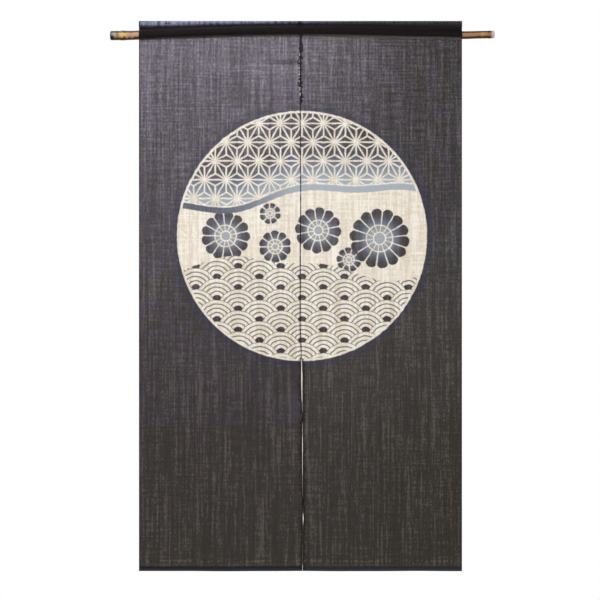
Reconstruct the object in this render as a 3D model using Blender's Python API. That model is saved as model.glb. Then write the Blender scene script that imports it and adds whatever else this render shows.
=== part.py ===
"""Noren: two lengths of hemp cloth, sewn side by side at the top and hung on a bamboo rod.

Metres, +Z up, the front faces -Y. The origin lies on the rod's axis where the two lengths meet.
Heights on the cloth are given as drops, measured down from the origin.
"""
import math
from typing import NamedTuple

import bmesh
import bpy

# Driving dimensions of the rod
ROD_LEFT_END = -0.518
ROD_RIGHT_END = 0.530
ROD_RADIUS = 0.0112
ROD_TAPER = 0.0022
ROD_BOW_LEFT = 0.0117
ROD_BOW_RIGHT = 0.0090
ROD_CHAMFER = 0.0012
ROD_SIDES = 20
ROD_STEP = 0.050
JOINT_X = -0.483
JOINT_RISE = 0.0008
JOINT_WIDTH = 0.010

# Driving dimensions of the cloth
CLOTH_LEFT = -0.4395
CLOTH_RIGHT = 0.4410
CLOTH_TOP = 0.029
CLOTH_DROP = 1.471
CLOTH_THICKNESS = 0.001
LAYER_GAP = 0.0004
COLUMN_STEP = 0.030
ROW_STEP = 0.065

# The channel that holds the rod, and the heading that stands above it
CHANNEL_SLACK = 0.0010
CHANNEL_SAG = 0.0004
SEAM_BELOW_RING = 0.0008
SEAM_ABOVE_RING = 0.0022
TURNED_END = 0.0040
RING_LOW_ANGLE = math.radians(-62)
RING_HIGH_ANGLE = math.radians(66)
RING_STEPS = 8
HEADING_RISE_STEPS = 3
FOLD_STEPS = 3
FOLD_RADIUS = 0.0040
FOLD_GROWTH = 0.80

# The bottom hem, turned up at the back
HEM_HEIGHT = 0.0130
HEM_FOLD_STEPS = 4

# Long soft waves of the hanging cloth: height at the hem and length from crest to crest
BODY_START = 0.045
BROAD_WAVE = 0.0040
BROAD_LENGTH = 0.34
FINE_WAVE = 0.0016
FINE_LENGTH = 0.15
EDGE_CURL_REACH = 0.070


class SlitRow(NamedTuple):
    """Where the inner edges of the two lengths hang at one drop below the rod."""

    drop: float
    centre: float
    opening: float
    left_forward: float


SLIT = (
    SlitRow(drop=0.000, centre=-0.0010, opening=0.0004, left_forward=0.0000),
    SlitRow(drop=0.195, centre=0.0000, opening=0.0004, left_forward=0.0000),
    SlitRow(drop=0.460, centre=0.0014, opening=0.0006, left_forward=0.0004),
    SlitRow(drop=0.620, centre=0.0004, opening=0.0012, left_forward=0.0006),
    SlitRow(drop=0.800, centre=0.0000, opening=0.0006, left_forward=0.0008),
    SlitRow(drop=0.880, centre=0.0026, opening=0.0006, left_forward=0.0008),
    SlitRow(drop=0.905, centre=0.0040, opening=0.0018, left_forward=0.0006),
    SlitRow(drop=0.950, centre=0.0044, opening=0.0021, left_forward=0.0006),
    SlitRow(drop=0.990, centre=0.0048, opening=0.0018, left_forward=0.0008),
    SlitRow(drop=1.030, centre=0.0060, opening=0.0009, left_forward=0.0020),
    SlitRow(drop=1.048, centre=0.0068, opening=-0.0014, left_forward=0.0032),
    SlitRow(drop=1.068, centre=0.0066, opening=0.0006, left_forward=0.0024),
    SlitRow(drop=1.085, centre=0.0063, opening=0.0014, left_forward=0.0014),
    SlitRow(drop=1.130, centre=0.0062, opening=0.0018, left_forward=0.0008),
    SlitRow(drop=1.180, centre=0.0061, opening=0.0015, left_forward=0.0008),
    SlitRow(drop=1.235, centre=0.0062, opening=0.0010, left_forward=0.0012),
    SlitRow(drop=1.262, centre=0.0069, opening=0.0005, left_forward=0.0022),
    SlitRow(drop=1.285, centre=0.0075, opening=-0.0012, left_forward=0.0032),
    SlitRow(drop=1.306, centre=0.0078, opening=0.0008, left_forward=0.0022),
    SlitRow(drop=1.325, centre=0.0081, opening=0.0025, left_forward=0.0010),
    SlitRow(drop=1.352, centre=0.0077, opening=0.0010, left_forward=0.0008),
    SlitRow(drop=1.385, centre=0.0071, opening=0.0006, left_forward=0.0004),
    SlitRow(drop=CLOTH_DROP, centre=0.0064, opening=0.0006, left_forward=0.0000),
)

# Worked out from the sizes above
LAYER_SETOFF = (CLOTH_THICKNESS + LAYER_GAP) / 2
LEFT = -1
RIGHT = 1


class Finish(NamedTuple):
    """Colour, roughness and metallic value of one piece."""

    colour: tuple
    roughness: float
    metallic: float


HEMP_LEFT = Finish(colour=(0.085, 0.078, 0.090, 1.0), roughness=0.92, metallic=0.0)
HEMP_RIGHT = Finish(colour=(0.072, 0.064, 0.064, 1.0), roughness=0.92, metallic=0.0)
BAMBOO = Finish(colour=(0.235, 0.135, 0.055, 1.0), roughness=0.42, metallic=0.0)


def clear_scene():
    """Removes every object, so that the file holds this model alone."""
    for item in list(bpy.data.objects):
        bpy.data.objects.remove(item, do_unlink=True)


def mix(low, high, share):
    """The value at a share of the way from low to high."""
    return low + (high - low) * share


def smooth(share):
    """Eases a share in and out."""
    return share * share * (3 - 2 * share)


def steps_between(low, high, count):
    """Evenly spaced values from low to high, both ends included."""
    return [mix(low, high, index / count) for index in range(count + 1)]


def make_object(name, mesh, finish):
    """Puts a mesh in the scene as one piece with its own material."""
    material = bpy.data.materials.new(name)
    material.use_nodes = True
    shader = material.node_tree.nodes["Principled BSDF"]
    shader.inputs["Base Color"].default_value = finish.colour
    shader.inputs["Roughness"].default_value = finish.roughness
    shader.inputs["Metallic"].default_value = finish.metallic
    mesh.materials.append(material)
    piece = bpy.data.objects.new(name, mesh)
    bpy.context.scene.collection.objects.link(piece)
    return piece


def rod_axis(x):
    """Height of the rod's axis: each half falls away from the middle as a parabola."""
    if x < 0:
        return -ROD_BOW_LEFT * (x / ROD_LEFT_END) ** 2
    return -ROD_BOW_RIGHT * (x / ROD_RIGHT_END) ** 2


def rod_radius(x):
    """Radius of the pole without its joint, thinner towards +X."""
    return ROD_RADIUS - ROD_TAPER * x


def rod_rings():
    """Places along the rod and the radius at each, with the chamfered ends and the joint."""
    half_joint = JOINT_WIDTH / 2
    count = round((ROD_RIGHT_END - JOINT_X) / ROD_STEP)
    start = JOINT_X + half_joint
    stop = ROD_RIGHT_END - ROD_CHAMFER
    rings = [
        (ROD_LEFT_END, rod_radius(ROD_LEFT_END) - ROD_CHAMFER),
        (ROD_LEFT_END + ROD_CHAMFER, rod_radius(ROD_LEFT_END)),
        (JOINT_X - half_joint, rod_radius(JOINT_X)),
        (JOINT_X, rod_radius(JOINT_X) + JOINT_RISE),
    ]
    rings += [(x, rod_radius(x)) for x in steps_between(start, stop, count)]
    rings.append((ROD_RIGHT_END, rod_radius(ROD_RIGHT_END) - ROD_CHAMFER))
    return rings


def build_rod():
    """The bamboo pole: rings square to X, bridged one to the next, with flat cut ends."""
    shape = bmesh.new()
    loops = []
    for x, radius in rod_rings():
        angles = [2 * math.pi * index / ROD_SIDES for index in range(ROD_SIDES)]
        ring = [
            shape.verts.new((x, radius * math.cos(angle), rod_axis(x) + radius * math.sin(angle)))
            for angle in angles
        ]
        loops.append([shape.edges.new((ring[index - 1], ring[index])) for index in range(ROD_SIDES)])
    for near, far in zip(loops, loops[1:]):
        bmesh.ops.bridge_loops(shape, edges=near + far)
    bmesh.ops.contextual_create(shape, geom=loops[0])
    bmesh.ops.contextual_create(shape, geom=loops[-1])
    bmesh.ops.recalc_face_normals(shape, faces=shape.faces)
    mesh = bpy.data.meshes.new("rod")
    shape.to_mesh(mesh)
    shape.free()
    mesh.shade_smooth()
    mesh.set_sharp_from_angle(angle=math.radians(30))
    return make_object("rod", mesh, BAMBOO)


def slit_at(drop):
    """The slit's centre, opening and forward lift at a drop, eased between the rows of SLIT."""
    drop = min(max(drop, SLIT[0].drop), SLIT[-1].drop)
    for above, below in zip(SLIT, SLIT[1:]):
        if drop <= below.drop:
            share = smooth((drop - above.drop) / (below.drop - above.drop))
            return SlitRow(*(mix(high, low, share) for high, low in zip(above, below)))
    return SLIT[-1]


def cloth_x(side, share, drop):
    """Place across a length, from its outer edge at share 0 to its inner edge at share 1."""
    slit = slit_at(drop)
    outer = CLOTH_LEFT if side == LEFT else CLOTH_RIGHT
    inner = slit.centre + side * slit.opening / 2
    return mix(outer, inner, share)


def wave_depth(x, drop):
    """Depth of the long waves: two sines across the cloth that grow towards the hem."""
    share = max(0.0, (drop - BODY_START) / (CLOTH_DROP - BODY_START))
    broad = math.sin(2 * math.pi * x / BROAD_LENGTH + 1.1 + 0.9 * share)
    fine = math.sin(2 * math.pi * x / FINE_LENGTH + 2.5 - 1.6 * share)
    return smooth(min(1.0, share + 0.15)) * share ** 0.5 * (BROAD_WAVE * broad + FINE_WAVE * fine)


def body_depth(side, x, drop):
    """Depth of the front layer below the channel, with the left inner edge lifted forward."""
    depth = wave_depth(x, drop) - LAYER_SETOFF
    if side == LEFT:
        slit = slit_at(drop)
        away = min(1.0, max(0.0, slit.centre - x) / EDGE_CURL_REACH)
        depth -= slit.left_forward * (1 - away) ** 2
    return depth


def heading_half(x):
    """Back half of the heading and channel in (depth, height), from the turned end to the top.

    Round the rod it is an arc a little wider and lower than the rod. A seam closes it just
    below and just above the rod, and above the upper seam it swells into a soft top fold.
    """
    centre = rod_axis(x) - CHANNEL_SAG
    ring = rod_radius(x) + CHANNEL_SLACK + CLOTH_THICKNESS / 2
    seam_low = centre - ring - SEAM_BELOW_RING
    seam_high = centre + ring + SEAM_ABOVE_RING
    top = CLOTH_TOP - CLOTH_THICKNESS / 2
    fold = FOLD_RADIUS + FOLD_GROWTH * (rod_radius(0) - rod_radius(x) - rod_axis(x))
    points = [(LAYER_SETOFF, seam_low - TURNED_END), (LAYER_SETOFF, seam_low)]
    for angle in steps_between(RING_LOW_ANGLE, RING_HIGH_ANGLE, RING_STEPS):
        points.append((ring * math.cos(angle), centre + ring * math.sin(angle)))
    for share in steps_between(0, 1, HEADING_RISE_STEPS)[:-1]:
        points.append((mix(LAYER_SETOFF, fold, smooth(share)), mix(seam_high, top - fold, share)))
    for angle in steps_between(0, math.pi / 2, FOLD_STEPS):
        points.append((fold * math.cos(angle), top - fold + fold * math.sin(angle)))
    return points


def body_drops():
    """Drops of the rows below the channel: those of SLIT, with more where they are far apart."""
    drops = [BODY_START]
    hem_start = CLOTH_DROP - HEM_HEIGHT
    for row in [row.drop for row in SLIT if BODY_START < row.drop < hem_start] + [hem_start]:
        count = max(1, math.ceil((row - drops[-1]) / ROW_STEP))
        drops += steps_between(drops[-1], row, count)[1:]
    return drops


def hem_turn():
    """The bottom fold in (depth, drop), from the front layer's end round to the hem's end."""
    centre = CLOTH_DROP - CLOTH_THICKNESS / 2 - LAYER_SETOFF
    turn = [
        (LAYER_SETOFF * (1 - math.cos(angle)), centre + LAYER_SETOFF * math.sin(angle))
        for angle in steps_between(0, math.pi, HEM_FOLD_STEPS)
    ]
    return turn + [(2 * LAYER_SETOFF, CLOTH_DROP - HEM_HEIGHT)]


def cloth_path(side, share):
    """Points of one column of a length, from its turned end at the back to the end of its hem."""
    top_x = cloth_x(side, share, 0)
    back = heading_half(top_x)
    front = [(-depth, height) for depth, height in reversed(back[1:-1])]
    path = [(cloth_x(side, share, -height), depth, height) for depth, height in back + front]
    for drop in body_drops():
        x = cloth_x(side, share, drop)
        path.append((x, body_depth(side, x, drop), -drop))
    for depth, drop in hem_turn():
        x = cloth_x(side, share, drop)
        path.append((x, body_depth(side, x, drop) + depth, -drop))
    return path


def build_panel(name, side, finish):
    """One length of cloth: its centre surface as a grid, thickened to both sides alike."""
    width = CLOTH_RIGHT if side == RIGHT else -CLOTH_LEFT
    shares = steps_between(0, 1, round(width / COLUMN_STEP))
    shape = bmesh.new()
    columns = [[shape.verts.new(point) for point in cloth_path(side, share)] for share in shares]
    for left, right in zip(columns, columns[1:]):
        for index in range(len(left) - 1):
            shape.faces.new((left[index], right[index], right[index + 1], left[index + 1]))
    mesh = bpy.data.meshes.new(name)
    shape.to_mesh(mesh)
    shape.free()
    mesh.shade_smooth()
    panel = make_object(name, mesh, finish)
    solid = panel.modifiers.new("cloth thickness", "SOLIDIFY")
    solid.thickness = CLOTH_THICKNESS
    solid.offset = 0
    solid.use_even_offset = True
    solid.use_rim = True
    return panel


def main():
    """Builds the rod and the two lengths of cloth."""
    clear_scene()
    build_rod()
    build_panel("panel_left", LEFT, HEMP_LEFT)
    build_panel("panel_right", RIGHT, HEMP_RIGHT)


main()
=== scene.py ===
"""Looks of the noren: two sheer hemp lengths, their sewing, and the bamboo rod they hang on.

Metres, +Z up, the front faces -Y. The origin lies on the rod's axis where the two lengths meet.
Heights on the cloth are given as drops, measured down from the origin.
"""

import logging
import math
from dataclasses import dataclass
from enum import Enum
from typing import Any, NamedTuple, Optional, Sequence

import bpy
import numpy as np
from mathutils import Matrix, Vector

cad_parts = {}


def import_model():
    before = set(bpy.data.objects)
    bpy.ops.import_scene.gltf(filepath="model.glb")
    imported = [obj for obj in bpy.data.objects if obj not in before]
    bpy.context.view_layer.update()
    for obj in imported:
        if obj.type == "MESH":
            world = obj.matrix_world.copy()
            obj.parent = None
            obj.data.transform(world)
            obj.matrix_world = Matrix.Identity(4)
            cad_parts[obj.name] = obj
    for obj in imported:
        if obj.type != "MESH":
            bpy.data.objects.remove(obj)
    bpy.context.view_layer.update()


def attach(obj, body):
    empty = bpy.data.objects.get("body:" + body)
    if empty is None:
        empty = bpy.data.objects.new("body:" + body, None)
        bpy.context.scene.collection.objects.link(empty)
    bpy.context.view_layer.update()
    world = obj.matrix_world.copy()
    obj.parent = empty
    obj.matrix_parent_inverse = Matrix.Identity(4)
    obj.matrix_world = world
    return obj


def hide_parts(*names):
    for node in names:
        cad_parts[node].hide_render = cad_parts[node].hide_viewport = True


BODY = "root"
CLOTH_MAP = "cloth"
INNER_EDGE = "from_inner_edge"
TURNED_END = "turned_end"
OUTER_EDGE = "from_outer_edge"
SEAM_END_DROP = 0.195

log = logging.getLogger("noren")

Colour = tuple[float, float, float]
Number = Any


class Side(Enum):
    """Which of the two lengths of cloth."""

    LEFT = -1
    RIGHT = 1


class SlitRow(NamedTuple):
    """Where the inner edges of the two lengths hang at one drop below the rod."""

    drop: float
    centre: float
    opening: float
    left_forward: float


SLIT = (
    SlitRow(0.000, -0.0010, 0.0004, 0.0000),
    SlitRow(0.195, 0.0000, 0.0004, 0.0000),
    SlitRow(0.460, 0.0014, 0.0006, 0.0004),
    SlitRow(0.620, 0.0004, 0.0012, 0.0006),
    SlitRow(0.800, 0.0000, 0.0006, 0.0008),
    SlitRow(0.880, 0.0026, 0.0006, 0.0008),
    SlitRow(0.905, 0.0040, 0.0020, 0.0006),
    SlitRow(0.950, 0.0044, 0.0030, 0.0006),
    SlitRow(0.990, 0.0048, 0.0020, 0.0008),
    SlitRow(1.030, 0.0060, 0.0009, 0.0020),
    SlitRow(1.048, 0.0068, -0.0014, 0.0032),
    SlitRow(1.068, 0.0066, 0.0006, 0.0024),
    SlitRow(1.085, 0.0063, 0.0014, 0.0014),
    SlitRow(1.130, 0.0062, 0.0018, 0.0008),
    SlitRow(1.180, 0.0061, 0.0015, 0.0008),
    SlitRow(1.235, 0.0062, 0.0010, 0.0012),
    SlitRow(1.262, 0.0069, 0.0005, 0.0022),
    SlitRow(1.285, 0.0075, -0.0012, 0.0032),
    SlitRow(1.306, 0.0078, 0.0008, 0.0022),
    SlitRow(1.325, 0.0081, 0.0025, 0.0010),
    SlitRow(1.352, 0.0077, 0.0010, 0.0008),
    SlitRow(1.385, 0.0071, 0.0006, 0.0004),
    SlitRow(1.471, 0.0064, 0.0006, 0.0000),
)


def smooth(share: Number) -> Number:
    """Eases a share in and out: three times its square less twice its cube."""
    return share * share * (3 - 2 * share)


def steps(low: float, high: float, count: int) -> np.ndarray:
    """Evenly spaced values from low to high, both ends included, as one column."""
    return np.linspace(low, high, count + 1)[:, None]


def slit_at(drop: np.ndarray) -> np.ndarray:
    """Reads the slit at any drops.

    Each value eases between the rows of SLIT as a smooth step of the share between two rows.

    Args:
        drop: Drops below the rod, in an array of any shape.

    Returns:
        The centre, the opening and the forward lift, stacked on a new first axis.
    """
    table = np.array(SLIT)
    inside = np.clip(drop, table[0, 0], table[-1, 0])
    row = np.clip(np.searchsorted(table[:, 0], inside) - 1, 0, len(table) - 2)
    share = smooth((inside - table[row, 0]) / (table[row + 1, 0] - table[row, 0]))
    return np.stack([table[row, k] + (table[row + 1, k] - table[row, k]) * share for k in (1, 2, 3)])


def grid_faces(rows: int, columns: int, wrap: bool = False) -> np.ndarray:
    """Quads of a grid whose points are stored row by row.

    Args:
        rows: Rows of points.
        columns: Points in a row.
        wrap: Whether the last column joins the first.

    Returns:
        Four point numbers for each face.
    """
    across = np.arange(columns if wrap else columns - 1)
    down = np.arange(rows - 1)[:, None]
    nearer = down * columns + across
    farther = down * columns + (across + 1) % columns
    return np.stack([nearer, farther, farther + columns, nearer + columns], axis=-1).reshape(-1, 4)


def make_piece(name: str, points: np.ndarray, faces: Sequence, materials: Sequence) -> bpy.types.Object:
    """Makes a smooth-shaded mesh piece at the origin.

    Args:
        name: The piece's name.
        points: One row of three coordinates for each point.
        faces: Point numbers for each face.
        materials: The piece's materials, in slot order.

    Returns:
        The new object.
    """
    mesh = bpy.data.meshes.new(name)
    mesh.from_pydata(points.reshape(-1, 3), [], faces)
    mesh.shade_smooth()
    for material in materials:
        mesh.materials.append(material)
    piece = bpy.data.objects.new(name, mesh)
    bpy.context.scene.collection.objects.link(piece)
    return piece


def finish_piece(piece: bpy.types.Object, replaced: Sequence[str] = ()) -> None:
    """Puts a piece on the frame's body and hides the CAD nodes that it stands for."""
    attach(piece, BODY)
    if replaced:
        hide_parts(*replaced)
    log.info("%s: %d faces", piece.name, len(piece.data.polygons))


def outward(piece: bpy.types.Object) -> None:
    """Turns a closed mesh's faces outward when its signed volume is negative."""
    mesh = piece.data
    points = np.empty(len(mesh.vertices) * 3)
    mesh.vertices.foreach_get("co", points)
    mesh.calc_loop_triangles()
    corners = np.empty(len(mesh.loop_triangles) * 3, dtype=np.int32)
    mesh.loop_triangles.foreach_get("vertices", corners)
    first, second, third = points.reshape(-1, 3)[corners.reshape(-1, 3)].transpose(1, 0, 2)
    if np.sum(first * np.cross(second, third)) < 0:
        mesh.flip_normals()


def write_map(piece: bpy.types.Object, labels: np.ndarray) -> None:
    """Stores one pair of coordinates for each point as the piece's UV map."""
    mesh = piece.data
    corners = np.empty(len(mesh.loops), dtype=np.int32)
    mesh.loops.foreach_get("vertex_index", corners)
    layer = mesh.uv_layers.new(name=CLOTH_MAP)
    layer.data.foreach_set("uv", labels[corners].astype(np.float32).ravel())


class Wire:
    """A node socket that takes part in sums, so that shader maths reads as Python."""

    def __init__(self, dye: "Nodes", socket: Optional[bpy.types.NodeSocket]) -> None:
        """Keeps the socket and the tree that it belongs to."""
        self.dye = dye
        self.socket = socket

    def math(self, operation: str, *values: Number) -> "Wire":
        """A Math node on this value and others."""
        return self.dye.math(operation, self, *values)

    def __add__(self, other: Number) -> "Wire":
        """This value plus another."""
        return self.math("ADD", other)

    def __sub__(self, other: Number) -> "Wire":
        """This value less another."""
        return self.math("SUBTRACT", other)

    def __rsub__(self, other: Number) -> "Wire":
        """Another value less this one."""
        return self.dye.math("SUBTRACT", other, self)

    def __mul__(self, other: Number) -> "Wire":
        """This value times another."""
        return self.math("MULTIPLY", other)

    def __truediv__(self, other: Number) -> "Wire":
        """This value over another."""
        return self.math("DIVIDE", other)

    __radd__ = __add__
    __rmul__ = __mul__

    def ease(self, low: float, high: float, start: float = 0.0, stop: float = 1.0) -> "Wire":
        """Eases from start, where this value is low, to stop, where it is high."""
        settings = {"interpolation_type": "SMOOTHSTEP"}
        values = {"Value": self, "From Min": low, "From Max": high, "To Min": start, "To Max": stop}
        if low > high:
            values.update({"From Min": high, "From Max": low, "To Min": stop, "To Max": start})
        return self.dye.node("ShaderNodeMapRange", settings, values)

    def near(self, middle: float, far: float, close: float) -> "Wire":
        """One within a close distance of the middle, easing to nothing at a far one."""
        return (self - middle).math("ABSOLUTE").ease(far, close)

    def share(self) -> "Wire":
        """This value kept between nothing and one."""
        return self.math("MAXIMUM", 0.0).math("MINIMUM", 1.0)


class Nodes:
    """The node tree of a material or of the world."""

    def __init__(self, owner: bpy.types.ID) -> None:
        """Starts with the owner's tree emptied."""
        self.owner = owner
        owner.use_nodes = True
        self.tree = owner.node_tree
        self.tree.nodes.clear()

    def node(
        self, kind: str, settings: Optional[dict] = None, values: Optional[dict] = None, output: Number = 0
    ) -> Wire:
        """Adds a node.

        Args:
            kind: The node's type.
            settings: Its settings, which are set first.
            values: What goes into its sockets, by name or number: plain values or wires.
            output: Name or number of the output that is wanted.

        Returns:
            The wanted output, or an empty wire from a node that has none.
        """
        made = self.tree.nodes.new(kind)
        for name, value in (settings or {}).items():
            setattr(made, name, value)
        for name, value in (values or {}).items():
            if isinstance(value, Wire):
                self.tree.links.new(value.socket, made.inputs[name])
            else:
                made.inputs[name].default_value = value
        return Wire(self, made.outputs[output] if made.outputs else None)

    def math(self, operation: str, *values: Number) -> Wire:
        """A Math node on values or wires."""
        return self.node("ShaderNodeMath", {"operation": operation}, dict(enumerate(values)))

    def vector(self, x: Number, y: Number) -> Wire:
        """A flat vector of two values."""
        return self.node("ShaderNodeCombineXYZ", {}, {"X": x, "Y": y})

    def length(self, x: Number, y: Number) -> Wire:
        """The length of a flat vector."""
        return self.node("ShaderNodeVectorMath", {"operation": "LENGTH"}, {0: self.vector(x, y)}, "Value")

    def part(self, vector: Wire, axis: str) -> Wire:
        """One coordinate of a vector."""
        return self.node("ShaderNodeSeparateXYZ", {}, {0: vector}, axis)

    def stored(self, name: str) -> Wire:
        """A value that is stored on the piece's points."""
        return self.node("ShaderNodeAttribute", {"attribute_name": name}, {}, "Fac")

    def object_place(self) -> Wire:
        """The place in the object's own coordinates."""
        return self.node("ShaderNodeTexCoord", {}, {}, "Object")

    def blend(self, share: Number, first: Number, second: Number) -> Wire:
        """Mixes two colours, the second by a share."""
        colours = [value if isinstance(value, Wire) else (*value, 1.0) for value in (first, second)]
        return self.node("ShaderNodeMix", {"data_type": "RGBA"}, {0: share, 6: colours[0], 7: colours[1]}, 2)

    def pick(self, share: Number, first: Number, second: Number) -> Wire:
        """Mixes two plain values, the second by a share."""
        return self.node("ShaderNodeMix", {"data_type": "FLOAT"}, {0: share, 2: first, 3: second}, 0)

    def bump(self, height: Wire, strength: float, distance: float) -> Wire:
        """The normal of a surface with this relief."""
        return self.node("ShaderNodeBump", {}, {"Height": height, "Strength": strength, "Distance": distance})

    def dress(self, colour: Number, roughness: Number, **others: Number) -> bpy.types.Material:
        """Closes the material with one Principled shader.

        Args:
            colour: Its Base Color.
            roughness: Its Roughness.
            others: Other sockets, with underscores for the spaces in their names.

        Returns:
            The material.
        """
        values = {"Base Color": colour, "Roughness": roughness}
        values.update({name.replace("_", " "): value for name, value in others.items()})
        return self.close(self.node("ShaderNodeBsdfPrincipled", {}, values), "ShaderNodeOutputMaterial")

    def close(self, surface: Wire, end: str) -> bpy.types.ID:
        """Links the shader to an output of this type and hands over the tree's owner."""
        self.node(end, {}, {"Surface": surface})
        return self.owner


class Coat(Nodes):
    """A material whose colour is laid on in layers over a piece with a map."""

    def __init__(self, name: str, colour: Number) -> None:
        """Starts the material with its first colour and the two coordinates of its map."""
        super().__init__(bpy.data.materials.new(name))
        self.colour = colour
        self.place = self.node("ShaderNodeUVMap", {"uv_map": CLOTH_MAP})
        self.across = self.part(self.place, "X")
        self.down = self.part(self.place, "Y")

    def lay(self, share: Number, colour: Number) -> None:
        """Lays a colour over the one that is there, by a share."""
        self.colour = self.blend(share, self.colour, colour)

    def cloudy(self, across: float, down: float, shift: float, detail: float = 0.0) -> Wire:
        """Soft noise about zero.

        Args:
            across: How many clouds there are to the metre across the map.
            down: How many there are down it.
            shift: Where in the noise it is read, so that two readings differ.
            detail: How many finer layers are added.

        Returns:
            A value that mostly lies within a quarter of zero.
        """
        values = {0: self.place, 1: (across, down, 0), 2: (shift, shift * 0.7, shift * 0.3)}
        moved = self.node("ShaderNodeVectorMath", {"operation": "MULTIPLY_ADD"}, values)
        values = {"Vector": moved, "Scale": 1.0, "Detail": detail}
        return self.node("ShaderNodeTexNoise", {"noise_dimensions": "2D"}, values) - 0.5


class Ink(NamedTuple):
    """What the pattern says at a place: how bare the cloth is, how pale its dye, and its dark halo."""

    bare: Wire
    pale: Wire
    halo: Optional[Wire] = None


class FlowerHead(NamedTuple):
    """One flower of the medallion, in shares of the medallion's radius."""

    x: float
    z: float
    radius: float
    petals: int
    turn: float


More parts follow.
